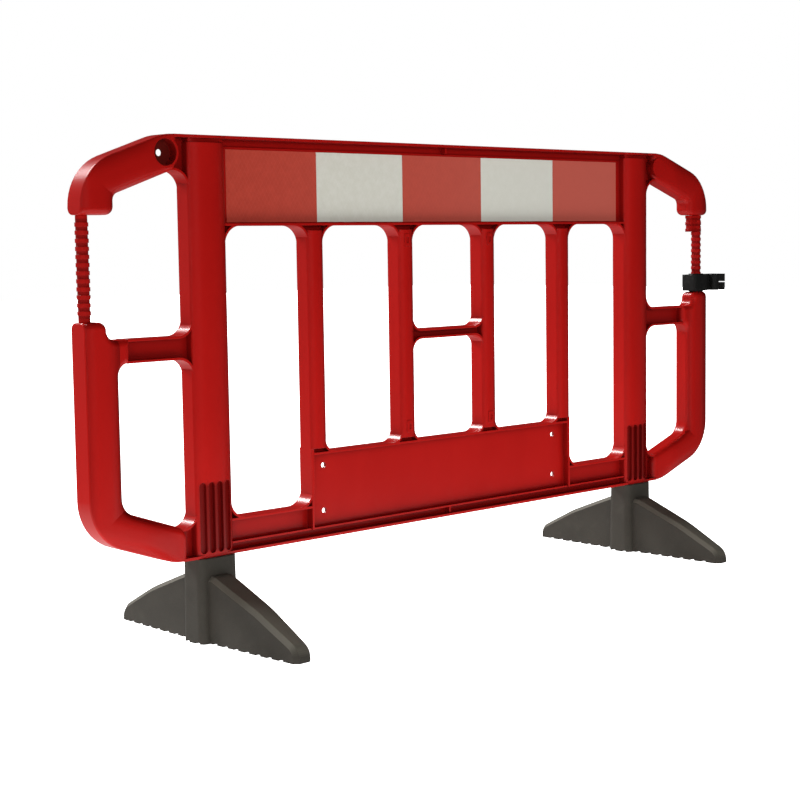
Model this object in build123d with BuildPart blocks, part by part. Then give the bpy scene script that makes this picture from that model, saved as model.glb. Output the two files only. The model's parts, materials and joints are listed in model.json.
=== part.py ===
from build123d import *
import math
import os

os.makedirs("parts", exist_ok=True)

# Sizes in mm. X runs along the barrier from its middle, Y runs through it with the front at -Y,
# and Z runs up from the ground.

# Whole barrier
overall_length = 2000.0
panel_height = 866.0
panel_depth = 50.0
foot_height = 178.0

# Wall thicknesses and depths of the moulding
web_thickness = 4.0
rim_thickness = 5.0
rim_depth = 40.0
flange_thickness = 6.0
band_board_thickness = 8.0
kick_board_thickness = 7.0
ledge_thickness = 4.0
ledge_depth = 34.0

# Rails, measured up or down from the panel's edges
groove_height = 14.0
sheet_border = 6.0
sheet_height = 150.0
sheet_thickness = 0.5
sheet_joint = 0.6
sheet_pitch = 258.0
sheet_end_margin = 15.0
lower_border = 7.5
bottom_rail_height = 73.0
kick_rail_height = 189.0
tie_height = 23.0

# Posts and bars
end_frame_length = 257.0
post_width = 94.0
post_depth = 54.0
post_crown = 10.0
post_end_gap = 9.0
bar_pitch = 271.0
bar_width = 45.0
bar_depth = 50.0
bar_crown = 9.0
bar_end_gap = 9.0
tuck_margin = 0.6
pad_width = 18.0
pad_height = 28.0
pad_relief = 0.8
pad_dimple = 1.6
pad_inset = 34.0

# Window corners
window_top_round = 40.0
middle_sill_round = 28.0
outer_sill_round = 40.0
tie_round = 28.0

# End frames
slope_run = 200.0
slope = 0.35
outer_corner = 106.0
shoulder_round = 120.0
upper_arm_depth = 80.0
lower_arm_depth = 77.0
outer_edge = 4.0
arm_edge = 14.0
arm_corner = arm_edge + 2.0
arm_end_round = 28.0
arm_end_margin = 13.0
tip_width = 79.0
tip_straight = 16.0
tip_notch_round = 16.0
block_width = 55.0
block_rise = 36.0
block_step_round = block_rise - arm_corner - 1.0
lower_arm_width = 80.0
crossbar_height = 48.0
crossbar_lift = 4.0
crossbar_flare = 35.0
lower_window_top_round = 25.0
box_margin = 0.5
lower_window_sill_round = 38.0
lap = 12.0

# Lamp cups in the left arm and the round bosses on the right arm
cup_radius = 27.0
cup_drop = 37.0
cup_wall = 5.0
lamp_hole_radius = 7.0
lamp_wall = 3.0
boss_radius = 25.5
boss_inset = 20.0
boss_relief = 1.5

# Kick board holes
kick_hole_radius = 6.5
kick_hole_spacing_x = 762.0
kick_hole_spacing_z = 101.0
kick_hole_drop = 32.0

# Slots at the base of each post
slot_count = 4
slot_width = 15.0
slot_pitch = 21.0
slot_length = 148.0
slot_depth = 9.0
slot_rise = 9.0

# End rods
rod_inset = 16.0
rod_core_radius = 11.8
rod_ring_radius = 13.4
rod_end_radius = 11.0
rod_end_length = 24.0
rod_end_clearance = 0.2
ring_pitch = 15.6
ring_height = 8.0
rod_seat_gap = 0.5
stop_block_length = 52.0
stop_block_depth = 22.0
stop_block_height = 44.0
stop_groove = 1.6

# Connector clip and its sleeve
sleeve_clearance = 0.4
sleeve_wall = 2.8
sleeve_flange = 3.0
sleeve_flange_thickness = 2.0
clip_height = 44.0
clip_clearance = 0.35
end_play = 0.3
split_width = 4.0
collar_length = 56.0
collar_depth = 48.0
collar_back = 34.0
collar_round = 8.0
hook_reach = 79.0
hook_size = 54.0
hook_round = 13.0
hook_bore_radius = 15.0
hook_mouth = 24.0
neck_depth = 28.0
neck_back = 22.0
finger_slit = 3.0

# Feet
foot_length = 600.0
wing_top_height = 140.0
wing_flat = 90.0
wing_end_height = 28.0
wing_knee_height = 88.0
wing_knee_reach = 180.0
wing_knee_round = 400.0
nose_radius = 1.3 * wing_end_height
wing_root_width = 62.0
wing_tip_width = 44.0
wing_chamfer = 9.0
column_base_length = 101.0
column_base_depth = 70.0
column_top_length = 98.0
column_top_depth = 66.0
column_round = 16.0
tread_pitch = 34.0
tread_groove = 14.0
tread_depth = 3.0
seat_gap = 0.3
spigot_radius = 15.0
spigot_length = 110.0
spigot_clearance = 0.4
socket_end_gap = 2.0
neck_groove_depth = 4.0
neck_groove_drop = 22.0
pin_radius = 4.0
pin_play = 0.3
pin_clearance = 0.05
pin_front_inset = 12.0
pin_back_inset = 10.0

# Positions that follow from the sizes above
half_length = overall_length / 2
panel_bottom = foot_height
panel_top = panel_bottom + panel_height
panel_middle = panel_bottom + panel_height / 2
half_depth = panel_depth / 2
post_x = half_length - end_frame_length - post_width / 2
post_inner = post_x - post_width / 2
post_outer = post_x + post_width / 2
bar_x = bar_pitch / 2
outer_bar_x = bar_x + bar_pitch
shoulder_x = half_length - slope_run
slope_angle = math.degrees(math.atan(slope))
shoulder_reach = shoulder_round * math.tan(math.radians(slope_angle / 2))
corner_reach = outer_corner * math.tan(math.radians((90 - slope_angle) / 2))
arm_end_x = shoulder_x - shoulder_reach - arm_end_margin
tip_bottom = panel_top - slope * slope_run - corner_reach - tip_straight
tip_x = half_length - tip_width
crossbar_top = panel_middle + crossbar_lift + crossbar_height / 2
crossbar_bottom = crossbar_top - crossbar_height
block_top = crossbar_top + block_rise
block_x = half_length - block_width
lower_arm_x = half_length - lower_arm_width
crossbar_box_x = lower_arm_x - lower_window_top_round - box_margin
rod_x = half_length - rod_inset
window_top = panel_top - flange_thickness - groove_height - sheet_border - sheet_height - lower_border
board_top = panel_top - flange_thickness - groove_height
sheet_z = board_top - sheet_border - sheet_height / 2
middle_sill = panel_bottom + kick_rail_height
outer_sill = panel_bottom + bottom_rail_height
ledge_z = panel_bottom + flange_thickness + groove_height
tie_top = panel_middle + tie_height / 2
tie_bottom = panel_middle - tie_height / 2
cup_x = arm_end_x + cup_radius + cup_wall
boss_x = arm_end_x + boss_inset
cup_z = panel_top - cup_drop
kick_hole_z = middle_sill - kick_hole_drop
kick_board_x = outer_bar_x + bar_width / 2 - rim_thickness / 2
kick_end_height = middle_sill + bar_end_gap + tuck_margin - ledge_z
kick_end_z = ledge_z + kick_end_height / 2
post_foot_z = panel_bottom + flange_thickness
post_head_z = panel_top - flange_thickness - post_end_gap
groove_z = panel_bottom + spigot_length - neck_groove_drop
groove_radius = spigot_radius - neck_groove_depth
pin_offset = groove_radius + pin_play + pin_radius


def tuck(depth, crown, run):
    """How far a rim of rim_depth goes into a crowned post or bar, or a rounded arm, to stay inside."""
    reach = max(rim_depth / 2 - depth / 2 + crown, 0)
    return run * (1 - math.sqrt(1 - (reach / crown) ** 2)) + tuck_margin


post_tuck = tuck(post_depth, post_crown, post_width / 2)
bar_tuck = tuck(bar_depth, bar_crown, bar_width / 2)
arm_tuck = tuck(panel_depth, arm_edge, arm_edge)


def arm_underside(x):
    return panel_top - upper_arm_depth - slope * (x - shoulder_x)


def arm_upperside(x):
    return panel_bottom + lower_arm_depth + slope * (x - shoulder_x)


def outline(points, radii):
    """Closed outline with one corner radius for each point, as a face of the open sketch."""
    with BuildLine() as path:
        FilletPolyline(points, radius=radii, close=True)
    make_face(path.edges())


def crowned(width, depth, crown):
    """Section of a post or bar: flat sides, and a front and back that bulge as half ellipses."""
    flat = depth / 2 - crown
    with BuildLine() as path:
        front = EllipticalCenterArc((0, -flat), width / 2, crown, start_angle=180, arc_size=180)
        back = EllipticalCenterArc((0, flat), width / 2, crown, start_angle=0, arc_size=180)
        Line(front @ 1, back @ 0)
        Line(back @ 1, front @ 0)
    make_face(path.edges())


def face_edges(part, end, axis, value):
    """Edges of the front face (end 0) or back face (end -1) whose centre lies at one coordinate."""
    edges = part.faces().sort_by(Axis.Y)[end].edges()
    return [edge for edge in edges if abs(getattr(edge.center(), axis) - value) < tuck_margin]


def pane(left, right, bottom, top, bottom_round, top_round):
    """Window between two uprights, with its own radius at the sill and at the head."""
    corners = [(left, bottom), (right, bottom), (right, top), (left, top)]
    outline(corners, [bottom_round, bottom_round, top_round, top_round])


# All windows in one sketch. Their upright sides lie a little inside the posts, bars and arms.
bar_side = bar_x - bar_width / 2 + bar_tuck
bar_far_side = bar_x + bar_width / 2 - bar_tuck
outer_bar_side = outer_bar_x - bar_width / 2 + bar_tuck
outer_bar_far_side = outer_bar_x + bar_width / 2 - bar_tuck
post_side = post_inner + post_tuck
post_far_side = post_outer - post_tuck
open_end_x = half_length + lap
lower_end_x = lower_arm_x + arm_tuck
crossbar_lap_x = crossbar_box_x + arm_tuck + tuck_margin

with BuildSketch(Plane.XZ) as windows:
    pane(-bar_side, bar_side, tie_top, window_top, tie_round, window_top_round)
    pane(-bar_side, bar_side, middle_sill, tie_bottom, middle_sill_round, tie_round)
    for side in (-1, 1):
        edges = sorted((side * bar_far_side, side * outer_bar_side))
        pane(edges[0], edges[1], middle_sill, window_top, middle_sill_round, window_top_round)
        edges = sorted((side * outer_bar_far_side, side * post_side))
        pane(edges[0], edges[1], outer_sill, window_top, outer_sill_round, window_top_round)
        outline(
            [
                (side * post_far_side, crossbar_top),
                (side * open_end_x, crossbar_top),
                (side * open_end_x, arm_underside(open_end_x) + arm_tuck),
                (side * post_far_side, arm_underside(post_far_side) + arm_tuck),
            ],
            [crossbar_flare, arm_corner, arm_corner, window_top_round],
        )
        outline(
            [
                (side * post_far_side, arm_upperside(post_far_side) - arm_tuck),
                (side * lower_end_x, arm_upperside(lower_end_x) - arm_tuck),
                (side * lower_end_x, crossbar_bottom),
                (side * post_far_side, crossbar_bottom),
            ],
            [
                crossbar_flare,
                lower_window_sill_round + arm_tuck,
                lower_window_top_round + arm_tuck,
                crossbar_flare,
            ],
        )

with BuildPart() as upper_arm:
    with BuildSketch(Plane.XZ):
        outline(
            [
                (arm_end_x, panel_top),
                (shoulder_x, panel_top),
                (half_length, panel_top - slope * slope_run),
                (half_length, tip_bottom),
                (tip_x, tip_bottom),
                (tip_x, arm_underside(tip_x)),
                (arm_end_x, arm_underside(arm_end_x)),
            ],
            [
                0,
                shoulder_round,
                outer_corner,
                0,
                arm_corner,
                tip_notch_round,
                arm_end_round,
            ],
        )
    extrude(amount=half_depth, both=True)
    # Large round along the tip and the underside of both faces, then a small one round the outside
    for end in (0, -1):
        fillet(face_edges(upper_arm.part, end, "Z", tip_bottom), radius=arm_edge)
    fillet(face_edges(upper_arm.part, 0, "X", half_length), radius=outer_edge)

with BuildPart() as lower_arm:
    with BuildSketch(Plane.XZ):
        outline(
            [
                (arm_end_x, panel_bottom),
                (shoulder_x, panel_bottom),
                (half_length, panel_bottom + slope * slope_run),
                (half_length, block_top),
                (block_x, block_top),
                (block_x, crossbar_top),
                (crossbar_box_x, crossbar_top),
                (crossbar_box_x, crossbar_bottom),
                (lower_arm_x, crossbar_bottom),
                (lower_arm_x, arm_upperside(lower_arm_x)),
                (arm_end_x, arm_upperside(arm_end_x)),
            ],
            [
                0,
                shoulder_round,
                outer_corner,
                0,
                arm_corner,
                block_step_round,
                0,
                0,
                lower_window_top_round,
                lower_window_sill_round,
                arm_end_round,
            ],
        )
    extrude(amount=half_depth, both=True)
    # The same rounds: block and step, end of the box, round the lower window, then the outside
    for end in (0, -1):
        inner_edges = face_edges(lower_arm.part, end, "Z", block_top)
        inner_edges += face_edges(lower_arm.part, end, "X", crossbar_box_x)
        inner_edges += face_edges(lower_arm.part, end, "X", lower_arm_x)
        fillet(inner_edges, radius=arm_edge)
    fillet(face_edges(lower_arm.part, 0, "X", half_length), radius=outer_edge)

# The red moulding
with BuildPart() as panel:
    # Web with the windows cut out, and the web of the two crossbars
    with BuildSketch(Plane.XZ):
        with Locations((0, panel_middle)):
            Rectangle(2 * (arm_end_x + lap), panel_height)
        with Locations((0, (crossbar_top + crossbar_bottom) / 2)):
            Rectangle(2 * crossbar_lap_x, crossbar_height)
        add(windows.sketch_local, mode=Mode.SUBTRACT)
    extrude(amount=web_thickness / 2, both=True)
    # Rim round every window, level rims that run on to the posts, and uprights that end the kick board
    with BuildSketch(Plane.XZ):
        add(windows.sketch_local)
        offset(amount=rim_thickness)
        with Locations((0, window_top + rim_thickness / 2)):
            Rectangle(2 * post_x, rim_thickness)
        with Locations((0, middle_sill - rim_thickness / 2)):
            Rectangle(2 * kick_board_x, rim_thickness)
        with Locations((0, outer_sill - rim_thickness / 2)):
            Rectangle(2 * post_x, rim_thickness)
            Rectangle(2 * kick_board_x, rim_thickness, mode=Mode.SUBTRACT)
        add(windows.sketch_local, mode=Mode.SUBTRACT)
        with Locations((-kick_board_x, kick_end_z), (kick_board_x, kick_end_z)):
            Rectangle(rim_thickness, kick_end_height)
        with Locations((0, panel_middle)):
            Rectangle(2 * crossbar_lap_x, panel_height, mode=Mode.INTERSECT)
    extrude(amount=rim_depth / 2, both=True)
    # Band board, kick board and the ledge above the bottom groove
    with BuildSketch(Plane.XZ):
        with Locations((0, (board_top + window_top) / 2)):
            Rectangle(2 * post_x, board_top - window_top - rim_thickness / 2)
    extrude(amount=band_board_thickness / 2, both=True)
    with BuildSketch(Plane.XZ):
        with Locations((0, (middle_sill + ledge_z) / 2)):
            Rectangle(2 * kick_board_x, middle_sill - ledge_z)
    extrude(amount=kick_board_thickness / 2, both=True)
    with BuildSketch(Plane.XZ):
        with Locations((0, ledge_z + ledge_thickness / 2)):
            Rectangle(2 * post_x, ledge_thickness)
    extrude(amount=ledge_depth / 2, both=True)
    # Flanges along the top and the bottom, and a small rib in the middle of each groove
    with BuildSketch(Plane.XZ):
        with Locations((0, panel_top - flange_thickness / 2), (0, panel_bottom + flange_thickness / 2)):
            Rectangle(2 * (arm_end_x + lap), flange_thickness)
    extrude(amount=half_depth, both=True)
    with BuildSketch(Plane.XZ):
        with Locations((0, board_top + groove_height / 2), (0, ledge_z - groove_height / 2)):
            Rectangle(rim_thickness, groove_height)
    extrude(amount=ledge_depth / 2, both=True)
    # Posts and bars
    with BuildSketch(Plane.XY.offset(panel_bottom)):
        with Locations((-post_x, 0), (post_x, 0)):
            Rectangle(post_width - 2 * post_tuck, rim_depth)
    extrude(amount=panel_height)
    for centre in (-post_x, post_x):
        with BuildSketch(Plane(origin=(centre, 0, post_foot_z))):
            crowned(post_width, post_depth, post_crown)
        extrude(amount=post_head_z - post_foot_z)
    for centre in (-outer_bar_x, -bar_x, bar_x, outer_bar_x):
        with BuildSketch(Plane(origin=(centre, 0, middle_sill + bar_end_gap))):
            crowned(bar_width, bar_depth, bar_crown)
        extrude(amount=window_top - middle_sill - 2 * bar_end_gap)
    # Low pads near both ends of the two middle bars, each with a dimple
    with BuildSketch(Plane.XZ):
        for pad_z in (window_top - pad_inset, middle_sill + pad_inset):
            with Locations((-bar_x, pad_z), (bar_x, pad_z)):
                RectangleRounded(pad_width, pad_height, pad_width / 4)
    extrude(amount=bar_depth / 2 + pad_relief, both=True)
    for face in (bar_depth / 2 + pad_relief, -bar_depth / 2 - pad_relief):
        with BuildSketch(Plane.XZ.offset(face)):
            for pad_z in (window_top - pad_inset, middle_sill + pad_inset):
                with Locations((-bar_x, pad_z), (bar_x, pad_z)):
                    SlotOverall(pad_height / 2, pad_width / 2.5, rotation=90)
        extrude(amount=-math.copysign(pad_dimple, face), mode=Mode.SUBTRACT)
    # End frames
    add(upper_arm.part)
    add(lower_arm.part)
    add(mirror(upper_arm.part, about=Plane.YZ, mode=Mode.PRIVATE))
    add(mirror(lower_arm.part, about=Plane.YZ, mode=Mode.PRIVATE))
    # Round bosses on the right arm, and the wall of the lamp cups in the left arm
    with BuildSketch(Plane.XZ):
        with Locations((boss_x, cup_z)):
            Circle(boss_radius)
    extrude(amount=half_depth + boss_relief, both=True)
    with BuildSketch(Plane.XZ):
        with Locations((-cup_x, cup_z)):
            Circle(cup_radius + cup_wall)
    extrude(amount=half_depth, both=True)
    # Lamp cups from both faces, with a bolt hole through the wall between them
    for face in (half_depth, -half_depth):
        with BuildSketch(Plane.XZ.offset(face)):
            with Locations((-cup_x, cup_z)):
                Circle(cup_radius)
        extrude(amount=-math.copysign(half_depth - lamp_wall / 2, face), mode=Mode.SUBTRACT)
    with BuildSketch(Plane.XZ):
        with Locations((-cup_x, cup_z)):
            Circle(lamp_hole_radius)
    extrude(amount=half_depth, both=True, mode=Mode.SUBTRACT)
    # Four holes through the kick board
    with BuildSketch(Plane.XZ):
        for hole_z in (kick_hole_z, kick_hole_z - kick_hole_spacing_z):
            with Locations((-kick_hole_spacing_x / 2, hole_z), (kick_hole_spacing_x / 2, hole_z)):
                Circle(kick_hole_radius)
    extrude(amount=half_depth, both=True, mode=Mode.SUBTRACT)
    # Upright slots at the base of each post, front and back
    slot_z = panel_bottom + slot_rise + slot_length / 2
    slot_span = (slot_count - 1) * slot_pitch
    for face in (post_depth / 2, -post_depth / 2):
        with BuildSketch(Plane.XZ.offset(face)):
            for centre in (-post_x, post_x):
                for number in range(slot_count):
                    with Locations((centre - slot_span / 2 + number * slot_pitch, slot_z)):
                        SlotOverall(slot_length, slot_width, rotation=90)
        extrude(amount=-math.copysign(slot_depth, face), mode=Mode.SUBTRACT)
    # Sockets for the foot spigots and holes for their pins
    with BuildSketch(Plane.XY.offset(panel_bottom)):
        with Locations((-post_x, 0), (post_x, 0)):
            Circle(spigot_radius + spigot_clearance)
    extrude(amount=spigot_length + socket_end_gap, mode=Mode.SUBTRACT)
    with BuildSketch(Plane.XZ.offset(-post_depth / 2)):
        for centre in (-post_x, post_x):
            with Locations((centre - pin_offset, groove_z), (centre + pin_offset, groove_z)):
                Circle(pin_radius + pin_clearance)
    extrude(amount=post_depth - pin_front_inset, mode=Mode.SUBTRACT)
    # Sockets for the ends of the rods
    for bottom in (tip_bottom, block_top - rod_end_length - rod_seat_gap):
        with BuildSketch(Plane.XY.offset(bottom)):
            with Locations((-rod_x, 0), (rod_x, 0)):
                Circle(rod_end_radius + rod_end_clearance)
        extrude(amount=rod_end_length + rod_seat_gap, mode=Mode.SUBTRACT)
panel.part.label = "panel"
export_step(panel.part, "parts/panel.step")

# End rods: plain ends in the sockets, rings between the two arms
rod_bottom = block_top + rod_seat_gap
rod_top = tip_bottom - rod_seat_gap
rod_length = rod_top - rod_bottom
ring_count = int((rod_length - ring_height) / ring_pitch)
ring_start = (rod_bottom + rod_top) / 2 - (ring_count - 1) * ring_pitch / 2
for name, side in (("left_end_rod", -1), ("right_end_rod", 1)):
    with BuildPart() as end_rod:
        with BuildSketch(Plane.XY.offset(rod_bottom - rod_end_length)):
            with Locations((side * rod_x, 0)):
                Circle(rod_end_radius)
        extrude(amount=rod_length + 2 * rod_end_length)
        with BuildSketch(Plane.XY.offset(rod_bottom)):
            with Locations((side * rod_x, 0)):
                Circle(rod_core_radius)
        extrude(amount=rod_length)
        for number in range(ring_count):
            with BuildSketch(Plane.XY.offset(ring_start + number * ring_pitch - ring_height / 2)):
                with Locations((side * rod_x, 0)):
                    Circle(rod_ring_radius)
            extrude(amount=ring_height)
        if side > 0:
            block_centre = rod_x + rod_ring_radius - stop_block_length / 2
            stop_bottom = rod_top - stop_block_height
            with BuildSketch(Plane.XY.offset(stop_bottom)):
                with Locations((block_centre, 0)):
                    inner_length = stop_block_length - 2 * stop_groove
                    inner_depth = stop_block_depth - 2 * stop_groove
                    RectangleRounded(inner_length, inner_depth, inner_depth / 3)
            extrude(amount=stop_block_height)
            stop_rings = int(stop_block_height / ring_pitch) + 1
            stop_pitch = (stop_block_height - ring_height) / (stop_rings - 1)
            for number in range(stop_rings):
                with BuildSketch(Plane.XY.offset(stop_bottom + number * stop_pitch)):
                    with Locations((block_centre, 0)):
                        RectangleRounded(stop_block_length, stop_block_depth, stop_block_depth / 3)
                extrude(amount=ring_height)
    end_rod.part.label = name
    export_step(end_rod.part, f"parts/{name}.step")

# Clip sleeve: split flanged bush that slides on the right rod
sleeve_inner = rod_ring_radius + sleeve_clearance
sleeve_outer = sleeve_inner + sleeve_wall
sleeve_bottom = block_top + end_play
sleeve_height = clip_height + 2 * end_play + 2 * sleeve_flange_thickness
with BuildPart() as clip_sleeve:
    with BuildSketch(Plane.XY.offset(sleeve_bottom)):
        with Locations((rod_x, 0)):
            Circle(sleeve_outer)
    extrude(amount=sleeve_height)
    for bottom in (sleeve_bottom, sleeve_bottom + sleeve_height - sleeve_flange_thickness):
        with BuildSketch(Plane.XY.offset(bottom)):
            with Locations((rod_x, 0)):
                Circle(sleeve_outer + sleeve_flange)
        extrude(amount=sleeve_flange_thickness)
    with BuildSketch(Plane.XY.offset(sleeve_bottom)):
        with Locations((rod_x, 0)):
            Circle(sleeve_inner)
        with Locations((rod_x, sleeve_outer)):
            Rectangle(split_width, 2 * sleeve_outer)
    extrude(amount=sleeve_height, mode=Mode.SUBTRACT)
clip_sleeve.part.label = "clip_sleeve"
export_step(clip_sleeve.part, "parts/clip_sleeve.step")

# Connector clip: collar that turns on the sleeve, neck, and a hook open to the front
clip_bottom = sleeve_bottom + sleeve_flange_thickness + end_play
hook_x = rod_x + hook_reach
collar_x = rod_x - collar_back + collar_length / 2
with BuildPart() as connector_clip:
    with BuildSketch(Plane.XY.offset(clip_bottom)):
        with Locations((collar_x, 0)):
            RectangleRounded(collar_length, collar_depth, collar_round)
        with Locations((hook_x, 0)):
            RectangleRounded(hook_size, hook_size, hook_round)
        with Locations(((rod_x + hook_x) / 2, neck_back - neck_depth / 2)):
            Rectangle(hook_reach, neck_depth)
        with Locations((rod_x, 0)):
            Circle(sleeve_outer + clip_clearance, mode=Mode.SUBTRACT)
        with Locations((hook_x, 0)):
            Circle(hook_bore_radius, mode=Mode.SUBTRACT)
        with Locations((hook_x, -hook_size / 2)):
            Rectangle(hook_mouth, hook_size, mode=Mode.SUBTRACT)
        with Locations((rod_x, collar_depth / 2)):
            Rectangle(split_width, collar_depth, mode=Mode.SUBTRACT)
    extrude(amount=clip_height)
    # Level slit that splits the outer finger of the hook
    finger_x = hook_x + hook_size / 2
    with BuildSketch(Plane.XZ):
        with Locations((finger_x, clip_bottom + clip_height / 2)):
            Rectangle(hook_size, finger_slit)
    extrude(amount=hook_size / 2, mode=Mode.SUBTRACT)
connector_clip.part.label = "connector_clip"
export_step(connector_clip.part, "parts/connector_clip.step")

# Feet: two tapered wings, a column up to the post and a grooved spigot that turns in the post
column_top_z = panel_bottom - seat_gap
tread_count = int((foot_length - tread_groove) / tread_pitch / 2)
for name, side in (("left_foot", -1), ("right_foot", 1)):
    foot_x = side * post_x
    with BuildPart() as foot:
        with BuildSketch(Plane.YZ.offset(foot_x)):
            outline(
                [
                    (-foot_length / 2, 0),
                    (foot_length / 2, 0),
                    (foot_length / 2, wing_end_height),
                    (wing_knee_reach, wing_knee_height),
                    (wing_flat / 2, wing_top_height),
                    (-wing_flat / 2, wing_top_height),
                    (-wing_knee_reach, wing_knee_height),
                    (-foot_length / 2, wing_end_height),
                ],
                [0, 0, nose_radius, wing_knee_round, nose_radius, nose_radius, wing_knee_round, nose_radius],
            )
        extrude(amount=wing_root_width / 2, both=True)
        # Bowed plan: widest at the column and narrower at the tips
        with BuildSketch(Plane(origin=(foot_x, 0, 0))):
            with BuildLine():
                tip_half = wing_tip_width / 2
                root_half = wing_root_width / 2
                tip_y = foot_length / 2
                left_bow = ThreePointArc((-tip_half, -tip_y), (-root_half, 0), (-tip_half, tip_y))
                right_bow = ThreePointArc((tip_half, -tip_y), (root_half, 0), (tip_half, tip_y))
                Line(left_bow @ 0, right_bow @ 0)
                Line(left_bow @ 1, right_bow @ 1)
            make_face()
        extrude(amount=wing_top_height, mode=Mode.INTERSECT)
        # Sloped edges along the top of both wings
        upper_faces = foot.faces().filter_by(lambda face: face.normal_at().Z > 0.1)
        top_edges = [edge for edge in upper_faces.edges() if abs(edge.center().X - foot_x) > wing_tip_width / 4]
        chamfer(top_edges, length=wing_chamfer)
        # Column and spigot
        with BuildSketch(Plane.XY):
            with Locations((foot_x, 0)):
                RectangleRounded(column_base_length, column_base_depth, column_round)
        with BuildSketch(Plane.XY.offset(column_top_z)):
            with Locations((foot_x, 0)):
                RectangleRounded(column_top_length, column_top_depth, column_round)
        loft()
        with BuildSketch(Plane.XY.offset(column_top_z)):
            with Locations((foot_x, 0)):
                Circle(spigot_radius)
        extrude(amount=spigot_length)
        groove_height_z = 2 * (pin_radius + pin_play)
        with BuildSketch(Plane.XY.offset(groove_z - groove_height_z / 2)):
            with Locations((foot_x, 0)):
                Circle(spigot_radius + spigot_clearance)
                Circle(groove_radius, mode=Mode.SUBTRACT)
        extrude(amount=groove_height_z, mode=Mode.SUBTRACT)
        # Tread grooves across the underside
        with BuildSketch(Plane.XY):
            for number in range(tread_count):
                tread_y = (number + 0.5) * tread_pitch
                with Locations((foot_x, tread_y), (foot_x, -tread_y)):
                    Rectangle(2 * column_base_length, tread_groove)
        extrude(amount=tread_depth, mode=Mode.SUBTRACT)
    foot.part.label = name
    export_step(foot.part, f"parts/{name}.step")

# Foot pins: two cross pins in each post that sit in the spigot's groove
pin_length = post_depth - pin_front_inset - pin_back_inset
for post, side in (("left", -1), ("right", 1)):
    for number, offset_x in ((1, -pin_offset), (2, pin_offset)):
        name = f"{post}_foot_pin_{number}"
        with BuildPart() as foot_pin:
            with BuildSketch(Plane.XZ.offset(pin_back_inset - post_depth / 2)):
                with Locations((side * post_x + offset_x, groove_z)):
                    Circle(pin_radius)
            extrude(amount=pin_length)
        foot_pin.part.label = name
        export_step(foot_pin.part, f"parts/{name}.step")

# Reflective sheets on both faces of the band board
sheet_count = 5
sheet_end = post_inner - sheet_end_margin
sheet_face = band_board_thickness / 2
for view, plane_offset in (("front", sheet_face), ("back", -sheet_face - sheet_thickness)):
    for number in range(sheet_count):
        sheet_left = max((number - sheet_count / 2) * sheet_pitch, -sheet_end)
        sheet_right = min((number + 1 - sheet_count / 2) * sheet_pitch, sheet_end)
        name = f"{view}_sheet_{number + 1}"
        with BuildPart() as sheet:
            with BuildSketch(Plane.XZ.offset(plane_offset)):
                with Locations(((sheet_left + sheet_right) / 2, sheet_z)):
                    Rectangle(sheet_right - sheet_left - sheet_joint, sheet_height)
            extrude(amount=sheet_thickness)
        sheet.part.label = name
        export_step(sheet.part, f"parts/{name}.step")
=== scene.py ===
import json
import math

import bpy
from mathutils import Matrix, Vector

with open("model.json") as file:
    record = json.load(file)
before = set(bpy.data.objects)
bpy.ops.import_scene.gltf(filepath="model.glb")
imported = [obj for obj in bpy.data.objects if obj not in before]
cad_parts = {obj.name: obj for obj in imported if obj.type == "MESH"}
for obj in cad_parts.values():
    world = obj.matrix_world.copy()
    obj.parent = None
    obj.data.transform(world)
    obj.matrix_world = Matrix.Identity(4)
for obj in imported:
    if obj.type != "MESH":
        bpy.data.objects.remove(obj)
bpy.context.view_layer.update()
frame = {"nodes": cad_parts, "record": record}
nodes = frame["nodes"]
mounts = {mount["name"]: mount["pos_m"] for mount in frame["record"]["mounts"]}

# Places and sizes are metres in the frame. Where a mask changes over a range, the range is a pair of values.

# Middle lines of the end arms, from the post outwards, as x and z
upper_arm_line = ((0.7, 1.039), (0.9605, 0.9478), (0.9605, 0.8828))
lower_arm_line = ((0.7, 0.1815), (0.96, 0.2725), (0.96, 0.66))

# Crowns that the panel's finish adds to the faces of arms, posts and bars
arm_half_width = 0.039
arm_onset = (0.765, 0.875)
upper_arm_crown = 0.013
lower_arm_crown = 0.017
post_middle = mounts["right_foot_sole"][0]
post_half_width = 0.047
post_crown = 0.011
bar_middles = (0.1355, 0.4065)
bar_half_width = 0.0225
bar_mid_height = 0.613
bar_ends = (0.236, 0.24)
bar_crown = 0.0055
crown_power = 3.0

# The crowns lie only on faces that look to the front or the back, by this share, and this far from the middle
looking_out = (0.45, 0.6)
outer_depth = (0.012, 0.016)

# Lamp cup of the left arm, with its wall measured from its middle. Its inside gets painted shade.
cup_x, _, cup_z = mounts["left_lamp_hole"]
cup_wall = (0.0262, 0.0272)

# Slots at the foot of each post, measured from their middle. The panel gets painted shade over them.
slots_mid_height = 0.261
slots_sides = (0.034, 0.044)
slots_ends = (0.064, 0.078)

# Painted shade: recesses are painted darker as they get deeper, by the share of their surroundings that is
# hidden
recess_reach = 0.06
recess_depth = (0.08, 0.5)
deepest_recess = 0.45

# Rings of the end rods. The middle of a rod lies between two rings, and half a gap is a share of the pitch.
rod_middle = mounts["left_rod"][2]
ring_pitch = 0.0156
half_gap = (0.14, 0.28)

# Dust on the red plastic thins out with height
dusty_height = (0.2, 0.42)

# Diamond cells of the reflective sheets: cells in a metre, slope of the walls, and their reach into a cell
cell_count = 95.0
cell_slope = 0.62
cell_wall = (0.0, 0.08)

# Run along the barrier over which the sheets get a painted sheen, paler towards the right
sheen_run = (-0.9, 0.8)

# Floor, and the patch of it that glows round the feet, longer along the barrier than across it
floor_size = 40.0
glow_middle = -0.55
glow_edge = (0.8, 1.8)
glow_squeeze = 0.7746

# The photograph's camera: place, turn, image and focal length in pixels, and the width of a usual sensor
camera_place = (-2.78566, -2.78163, 0.8229)
camera_yaw = math.radians(43.542)
camera_pitch = math.radians(5.391)
camera_roll = math.radians(-0.837)
image_side = 800.0
focal_pixels = 1677.96
sensor_millimetres = 36.0

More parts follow.
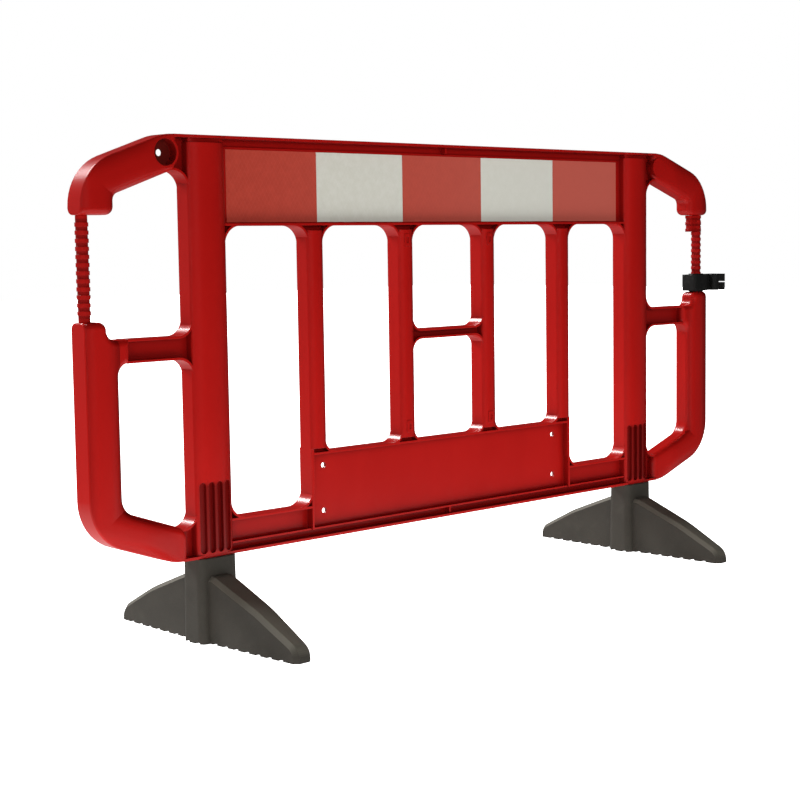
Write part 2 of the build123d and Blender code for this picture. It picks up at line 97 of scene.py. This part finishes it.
# Colours, as linear red, green and blue
deep_red = (0.36, 0.0056, 0.0042)
bright_red = (0.4, 0.0066, 0.005)
scuffed_red = (0.5, 0.04, 0.035)
dusty_red = (0.25, 0.09, 0.07)
slot_shade_red = (0.1, 0.004, 0.003)
cup_shade_brown = (0.09, 0.014, 0.01)
recess_shade_red = (0.09, 0.001, 0.001)
rubbed_red = (0.16, 0.002, 0.002)
groove_shade_red = (0.07, 0.001, 0.001)
dark_compound = (0.03, 0.0266, 0.021)
light_compound = (0.0355, 0.0315, 0.025)
compound_fleck = (0.08, 0.073, 0.062)
dust_and_top_light_grey = (0.12, 0.112, 0.09)
nylon_black = (0.008, 0.008, 0.0075)
rubbed_black = (0.026, 0.025, 0.023)
zinc_grey = (0.52, 0.52, 0.51)
dull_zinc = (0.36, 0.35, 0.33)
paper_shade = (0.76, 0.76, 0.76)
paper_white = (0.8, 0.8, 0.8)
glow_bright = (0.72, 0.72, 0.72)
glow_dark = (0.02, 0.02, 0.02)
background_white = (1.0, 1.0, 1.0)


class Field:
    """A value on its way to a shader socket. Sums, products and comparisons of fields add Math nodes."""

    def __init__(self, owner, socket):
        self.owner = owner
        self.socket = socket

    def _math(self, operation, *values):
        return self.owner.node("ShaderNodeMath", {"operation": operation}, dict(enumerate(values)))

    def __add__(self, other):
        return self._math("ADD", self, other)

    __radd__ = __add__

    def __mul__(self, other):
        return self._math("MULTIPLY", self, other)

    def __sub__(self, other):
        return self._math("SUBTRACT", self, other)

    def __rsub__(self, other):
        return self._math("SUBTRACT", other, self)

    def __truediv__(self, other):
        return self._math("DIVIDE", self, other)

    def __pow__(self, other):
        return self._math("POWER", self, other)

    def largest(self, other):
        return self._math("MAXIMUM", self, other)

    def smallest(self, other):
        return self._math("MINIMUM", self, other)

    def hypotenuse(self, other):
        """The distance that these two make at right angles."""
        return (self * self + other * other) ** 0.5

    def zigzag(self, top):
        """Up from 0 to the top and down again, over and over."""
        return self._math("PINGPONG", self, top)

    def size(self):
        """The value without its sign."""
        return self._math("ABSOLUTE", self)


class Nodes:
    """A node tree, with the coordinates that its patterns follow."""

    def __init__(self, tree, space):
        self.tree = tree
        self.place = self.node("ShaderNodeTexCoord", {}, {}, space)

    def feed(self, socket, value):
        """Links a field to a socket, or sets the socket's own number or colour."""
        if isinstance(value, Field):
            self.tree.links.new(value.socket, socket)
        elif socket.type == "RGBA":
            socket.default_value = (*value, 1.0)
        else:
            socket.default_value = value

    def node(self, kind, settings, inputs, output=0):
        """Adds a node: its settings first, then the values or links of its sockets."""
        made = self.tree.nodes.new(kind)
        for key, value in settings.items():
            setattr(made, key, value)
        for key, value in inputs.items():
            self.feed(made.inputs[key], value)
        return Field(self, made.outputs[output])

    def axis(self, name):
        return self.node("ShaderNodeSeparateXYZ", {}, {"Vector": self.place}, name)

    def facing(self, name):
        """How far the surface looks along an axis, from -1 to 1."""
        normal = self.node("ShaderNodeNewGeometry", {}, {}, "True Normal")
        return self.node("ShaderNodeSeparateXYZ", {}, {"Vector": normal}, name)

    def seen_by(self, kind):
        """1 for rays of this kind and 0 for all others: Camera where it is seen, Glossy in a reflection."""
        return self.node("ShaderNodeLightPath", {}, {}, f"Is {kind} Ray")

    def span(self, value, low, high, first, last):
        """A value taken from one range to another, held at the ends."""
        sockets = {"Value": value, "From Min": low, "From Max": high, "To Min": first, "To Max": last}
        return self.node("ShaderNodeMapRange", {}, sockets, "Result")


class Finish(Nodes):
    """A node material with one Principled shader."""

    def __init__(self, name):
        self.material = bpy.data.materials.new(name)
        self.material.use_nodes = True
        super().__init__(self.material.node_tree, "Object")
        self.shader = next(n for n in self.tree.nodes if n.type == "BSDF_PRINCIPLED")

    def noise(self, scale, detail=3.0, roughness=0.55, place=None):
        sockets = {"Vector": place or self.place, "Scale": scale, "Detail": detail, "Roughness": roughness}
        return self.node("ShaderNodeTexNoise", {}, sockets, "Fac")

    def stretched(self, size):
        """The piece's own coordinates, scaled by a different amount along each axis."""
        return self.node("ShaderNodeMapping", {}, {"Vector": self.place, "Scale": size}, "Vector")

    def step(self, value, low, high):
        """0 below low, 1 above high, and a smooth rise between."""
        settings = {"interpolation_type": "SMOOTHSTEP"}
        sockets = {"Value": value, "From Min": low, "From Max": high}
        return self.node("ShaderNodeMapRange", settings, sockets, "Result")

    def fade(self, value, low, high):
        """1 below low, 0 above high, and a smooth fall between."""
        return 1 - self.step(value, low, high)

    def mix(self, factor, first, second):
        """Colour between two colours."""
        settings = {"data_type": "RGBA", "blend_type": "MIX"}
        return self.node("ShaderNodeMix", settings, {0: factor, 6: first, 7: second}, 2)

    def tinted(self, base, tint, where, share):
        """A colour that takes up to this share of a tint where a mask is 1."""
        return self.mix(where * share, base, tint)

    def shelter(self, reach):
        """How far a point lies in a recess: 0 in the open, towards 1 deep in the pockets of its own piece."""
        settings = {"samples": 8, "only_local": True}
        return 1 - self.node("ShaderNodeAmbientOcclusion", settings, {"Distance": reach}, "AO")

    def soft_edges(self, radius):
        """The surface normal, turned at sharp edges as if they were rounded by this radius."""
        return self.node("ShaderNodeBevel", {"samples": 6}, {"Radius": radius}, "Normal")

    def bump(self, height, strength, distance, normal):
        sockets = {"Height": height, "Strength": strength, "Distance": distance, "Normal": normal}
        return self.node("ShaderNodeBump", {}, sockets, "Normal")

    def away_from(self, name, middle):
        """Distance along an axis from a place. Both ends of the barrier are alike."""
        return (self.axis(name).size() - middle).size()

    def distance_to_run(self, start, end):
        """Distance from a straight run of x and z, seen from the front. Both ends are alike."""
        across = end[0] - start[0]
        rise = end[1] - start[1]
        from_x = self.axis("X").size() - start[0]
        from_z = self.axis("Z") - start[1]
        share = ((from_x * across + from_z * rise) / (across**2 + rise**2)).largest(0.0).smallest(1.0)
        off_x = from_x - share * across
        off_z = from_z - share * rise
        return off_x.hypotenuse(off_z)

    def crown(self, off_line, half_width):
        """A rounded swell along a line: 1 on it, 0 from the half width on."""
        return 1 - (off_line / half_width).smallest(1.0) ** crown_power

    def shade(self, **sockets):
        """Feeds the shader's sockets, with underscores for the spaces in their names."""
        for key, value in sockets.items():
            self.feed(self.shader.inputs[key.replace("_", " ")], value)
        return self.material


def red_base(f):
    """Red polyethylene with faint flow marks, pale scuffs and a little dust low down."""
    flow = f.noise(scale=5.0, detail=4.0, roughness=0.6, place=f.stretched((1.0, 1.0, 0.35)))
    scratches = f.noise(scale=55.0, detail=6.0, roughness=0.7, place=f.stretched((1.0, 1.0, 4.0)))
    specks = f.noise(scale=38.0, detail=5.0, roughness=0.65)
    scuff = f.step(scratches, low=0.68, high=0.76)
    dust = f.step(specks, low=0.5, high=0.85) * f.fade(f.axis("Z"), *dusty_height)
    base = f.mix(f.step(flow, low=0.3, high=0.7), deep_red, bright_red)
    worn = f.tinted(base, scuffed_red, where=scuff, share=0.12)
    colour = f.tinted(worn, dusty_red, where=dust, share=0.03)
    rough = 0.26 + flow * 0.1 + scuff * 0.12 + dust * 0.12
    grain = f.noise(scale=1100.0, detail=2.0) * 0.4 + flow * 0.6
    return colour, rough, grain


def red_grain(f, grain, normal):
    """The fine grain of the red plastic on a surface with this normal."""
    return f.bump(grain, strength=0.1, distance=0.0005, normal=normal)


def panel_swell(f):
    """How far the outer faces of posts, arms and bars seem to rise above their solids, in metres."""
    outer = f.step(f.facing("Y").size(), *looking_out) * f.step(f.axis("Y").size(), *outer_depth)
    swell = f.crown(f.away_from("X", post_middle), post_half_width) * outer * post_crown
    on_arm = outer * f.step(f.axis("X").size(), *arm_onset)
    for line, height in ((upper_arm_line, upper_arm_crown), (lower_arm_line, lower_arm_crown)):
        off_line = f.distance_to_run(*line[:2]).smallest(f.distance_to_run(*line[1:]))
        swell = swell + f.crown(off_line, arm_half_width) * on_arm * height
    on_bar = outer * f.fade(f.away_from("Z", bar_mid_height), *bar_ends)
    for middle in bar_middles:
        swell = swell + f.crown(f.away_from("X", middle), bar_half_width) * on_bar * bar_crown
    return swell


def panel_moulding():
    """The panel's red, with painted shade in its recesses, lamp cup and post slots, and crowned posts, arms
    and bars.
    """
    f = Finish("panel_moulding")
    colour, rough, grain = red_base(f)
    # Painted shade: the inside of the left lamp cup is painted dark brown
    from_cup = (f.axis("X") - cup_x).hypotenuse(f.axis("Z") - cup_z)
    cup_shaded = f.tinted(colour, cup_shade_brown, where=f.fade(from_cup, *cup_wall), share=0.9)
    across_slots = f.fade(f.away_from("X", post_middle), *slots_sides)
    slots = across_slots * f.fade(f.away_from("Z", slots_mid_height), *slots_ends)
    # Painted shade: the slots and ribs at each post's foot are painted dark red
    slot_shaded = f.tinted(cup_shaded, slot_shade_red, where=slots, share=0.75)
    # Painted shade: the panel is painted darker where it lies deep in its own recesses
    recess = f.step(f.shelter(recess_reach).smallest(deepest_recess), *recess_depth)
    crowned = f.bump(panel_swell(f), strength=1.0, distance=1.0, normal=f.soft_edges(radius=0.0012))
    return f.shade(
        Base_Color=f.tinted(slot_shaded, recess_shade_red, where=recess, share=0.6),
        Roughness=rough,
        Normal=red_grain(f, grain, crowned),
        Specular_IOR_Level=0.12,
        Coat_Weight=0.16,
        Coat_Roughness=0.1,
    )


def rod_moulding():
    """The end rods' red: duller than the panel, with painted shade between the rings."""
    f = Finish("rod_moulding")
    colour, rough, grain = red_base(f)
    from_gap = ((f.axis("Z") - rod_middle) / ring_pitch).zigzag(0.5)
    # Painted shade: the gaps between the rod's rings are painted dark
    groove_shade = f.fade(from_gap, *half_gap)
    rubbed = f.mix(factor=0.2, first=colour, second=rubbed_red)
    return f.shade(
        Base_Color=f.tinted(rubbed, groove_shade_red, where=groove_shade, share=0.45),
        Roughness=rough + 0.16,
        Normal=red_grain(f, grain, f.soft_edges(radius=0.001)),
        Specular_IOR_Level=0.12,
    )


def foot_compound():
    """Dark recycled plastic: matt, finely speckled, with specks of dust, and painted light that makes the
    faces that look up paler.
    """
    f = Finish("foot_compound")
    cells = f.node("ShaderNodeTexVoronoi", {}, {"Vector": f.place, "Scale": 300.0}, "Distance")
    flecks = f.fade(cells, low=0.08, high=0.2)
    cloud = f.noise(scale=14.0, detail=5.0, roughness=0.6)
    pits = f.step(f.noise(scale=320.0), low=0.58, high=0.72)
    dust = f.step(f.noise(scale=22.0, detail=6.0, roughness=0.7), low=0.5, high=0.85)
    # Painted light from above on the faces that look up, with specks of dust all over
    top_light_and_dust = (dust * 0.1).largest(f.step(f.facing("Z"), low=0.1, high=0.7) * 0.75)
    base = f.mix(f.step(cloud, low=0.3, high=0.7), dark_compound, light_compound)
    flecked = f.tinted(base, compound_fleck, where=flecks, share=0.2)
    grain = f.noise(scale=420.0) - pits * 0.6
    return f.shade(
        Base_Color=f.mix(top_light_and_dust, flecked, dust_and_top_light_grey),
        Roughness=0.55 + cloud * 0.2 + pits * 0.1,
        Normal=f.bump(grain, strength=0.25, distance=0.0008, normal=f.soft_edges(radius=0.003)),
        Specular_IOR_Level=0.2,
    )


def reflective_sheet(name, dark, light, wall):
    """Reflective sheet: small diamond cells with thin walls under a clear face, with a painted sheen that
    makes it paler to the right.
    """
    f = Finish(name)
    along = f.axis("X")
    lean = f.axis("Z") * cell_slope
    rising = ((along - lean) * cell_count).zigzag(0.5)
    falling = ((along + lean) * cell_count).zigzag(0.5)
    walls = f.fade(falling, *cell_wall).largest(f.fade(rising, *cell_wall))
    cloud = f.noise(scale=60.0, detail=5.0, roughness=0.65)
    grime = f.step(f.noise(scale=9.0, detail=6.0, roughness=0.7), low=0.5, high=0.8)
    base = f.mix(f.step(cloud, low=0.35, high=0.68), dark, light)
    celled = f.tinted(base, wall, where=walls, share=0.25)
    # Painted sheen: the sheet is painted paler towards the right end, in its wall colour
    sheened = f.tinted(celled, wall, where=f.step(along, *sheen_run), share=0.9)
    relief = walls * 0.7 + cloud * 0.3
    return f.shade(
        Base_Color=f.tinted(sheened, dark, where=grime, share=0.08),
        Roughness=0.36 + walls * 0.08 + grime * 0.08,
        Normal=f.bump(relief, strength=0.06, distance=0.0004, normal=f.soft_edges(radius=0.0005)),
        Coat_Weight=0.15,
        Coat_Roughness=0.2,
    )


def black_nylon():
    """Black moulded nylon with a fine grain and paler rubbed patches."""
    f = Finish("black_nylon")
    rub = f.step(f.noise(scale=70.0, detail=5.0, roughness=0.65), low=0.55, high=0.75)
    grain = f.noise(scale=900.0)
    return f.shade(
        Base_Color=f.tinted(nylon_black, rubbed_black, where=rub, share=0.5),
        Roughness=0.4 + rub * 0.18,
        Normal=f.bump(grain, strength=0.2, distance=0.0005, normal=f.soft_edges(radius=0.0012)),
        Specular_IOR_Level=0.3,
    )


def pin_steel():
    """Zinc-grey drawn steel, streaked along the pin."""
    f = Finish("pin_steel")
    streak = f.noise(scale=600.0, roughness=0.6, place=f.stretched((1.0, 0.04, 1.0)))
    spot = f.step(f.noise(scale=160.0, detail=4.0), low=0.55, high=0.7)
    return f.shade(
        Base_Color=f.tinted(zinc_grey, dull_zinc, where=spot, share=0.5),
        Roughness=0.28 + streak * 0.15 + spot * 0.15,
        Metallic=1.0,
        Normal=f.bump(streak, strength=0.15, distance=0.0003, normal=f.soft_edges(radius=0.0008)),
    )


def pale_floor():
    """White paper to the camera. To the barrier it is a glow round the feet, dimmer in reflections."""
    f = Finish("pale_floor")
    paper = f.mix(f.noise(scale=0.7, detail=2.0), paper_shade, paper_white)
    from_x = (f.axis("X") - glow_middle) * glow_squeeze
    from_y = f.axis("Y")
    reach = from_x.hypotenuse(from_y)
    glow = f.mix(f.step(reach, *glow_edge), glow_bright, glow_dark)
    mirrored = f.tinted(glow, glow_dark, where=f.seen_by("Glossy"), share=0.65)
    colour = f.mix(f.seen_by("Camera"), mirrored, paper)
    return f.shade(Base_Color=colour, Roughness=0.9, Emission_Color=colour, Emission_Strength=2.2)


def dress_pieces():
    """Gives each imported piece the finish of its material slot, and the end rods a finish of their own."""
    finishes = {
        "red_plastic": panel_moulding(),
        "foot_plastic": foot_compound(),
        "black_plastic": black_nylon(),
        "pin_steel": pin_steel(),
        "red_sheet": reflective_sheet(
            "red_sheet", dark=(0.45, 0.043, 0.025), light=(0.5, 0.051, 0.03), wall=(0.6, 0.13, 0.096)
        ),
        "white_sheet": reflective_sheet(
            "white_sheet", dark=(0.66, 0.65, 0.56), light=(0.72, 0.71, 0.63), wall=(0.78, 0.78, 0.7)
        ),
    }
    for entry in frame["record"]["subparts"]:
        solid = nodes[entry["node"]]
        solid.data.materials.clear()
        solid.data.materials.append(finishes[entry["material_slot"]])
    rod_finish = rod_moulding()
    for name in ("left_end_rod", "right_end_rod"):
        nodes[name].data.materials[0] = rod_finish


def place_camera():
    """A camera where the photograph's stood, turned as it was and with its focal length."""
    forward = Vector((math.sin(camera_yaw), math.cos(camera_yaw), -math.tan(camera_pitch))).normalized()
    level = Vector((math.cos(camera_yaw), -math.sin(camera_yaw), 0.0))
    upright = level.cross(forward)
    right = level * math.cos(camera_roll) + upright * math.sin(camera_roll)
    up = upright * math.cos(camera_roll) - level * math.sin(camera_roll)
    turn = Matrix((right, up, -forward)).transposed().to_4x4()
    data = bpy.data.cameras.new("camera")
    data.sensor_width = sensor_millimetres
    data.sensor_fit = "HORIZONTAL"
    data.lens = focal_pixels / image_side * sensor_millimetres
    camera = bpy.data.objects.new("camera", data)
    camera.matrix_world = Matrix.Translation(camera_place) @ turn
    bpy.context.scene.collection.objects.link(camera)
    bpy.context.scene.camera = camera


def far_light(name, towards, energy, angle, mirrored):
    """Light from a far disc, this many degrees wide. Reflections show it only where it is mirrored."""
    data = bpy.data.lights.new(name, "SUN")
    data.energy = energy
    data.angle = math.radians(angle)
    lamp = bpy.data.objects.new(name, data)
    lamp.visible_glossy = mirrored
    lamp.rotation_euler = Vector(towards).to_track_quat("-Z", "Y").to_euler()
    bpy.context.scene.collection.objects.link(lamp)


def light_all_round():
    """Soft light, strongest near the horizon and on the left. The camera sees plain white in its place."""
    world = bpy.data.worlds.new("studio")
    world.use_nodes = True
    sky = Nodes(world.node_tree, "Generated")
    by_height = sky.span(sky.axis("Z"), low=0.0, high=0.7, first=0.45, last=0.16)
    by_side = sky.span(sky.axis("X"), low=-1.0, high=0.6, first=0.85, last=0.05)
    seen = sky.seen_by("Camera")
    background = world.node_tree.nodes["Background"]
    sky.feed(background.inputs["Strength"], by_height * by_side * (1 - seen) + seen)
    sky.feed(background.inputs["Color"], background_white)
    bpy.context.scene.world = world


def lay_floor():
    """The sheet of floor that the barrier stands on."""
    bpy.ops.object.select_all(action="DESELECT")
    bpy.ops.mesh.primitive_plane_add(size=floor_size, location=(0.0, 0.0, 0.0))
    floor = bpy.context.active_object
    floor.name = "floor"
    floor.data.materials.append(pale_floor())


dress_pieces()
place_camera()

# One light from high behind the barrier, and two low ones from the left and from the front
far_light("key_light", towards=(0.2, -0.7, -0.685), energy=4.6, angle=18.0, mirrored=True)
far_light("left_light", towards=(0.99, 0.05, -0.1), energy=0.4, angle=20.0, mirrored=False)
far_light("front_light", towards=(0.33, 0.94, -0.02), energy=2.2, angle=36.0, mirrored=False)
light_all_round()
bpy.context.scene.view_settings.view_transform = "Standard"
lay_floor()
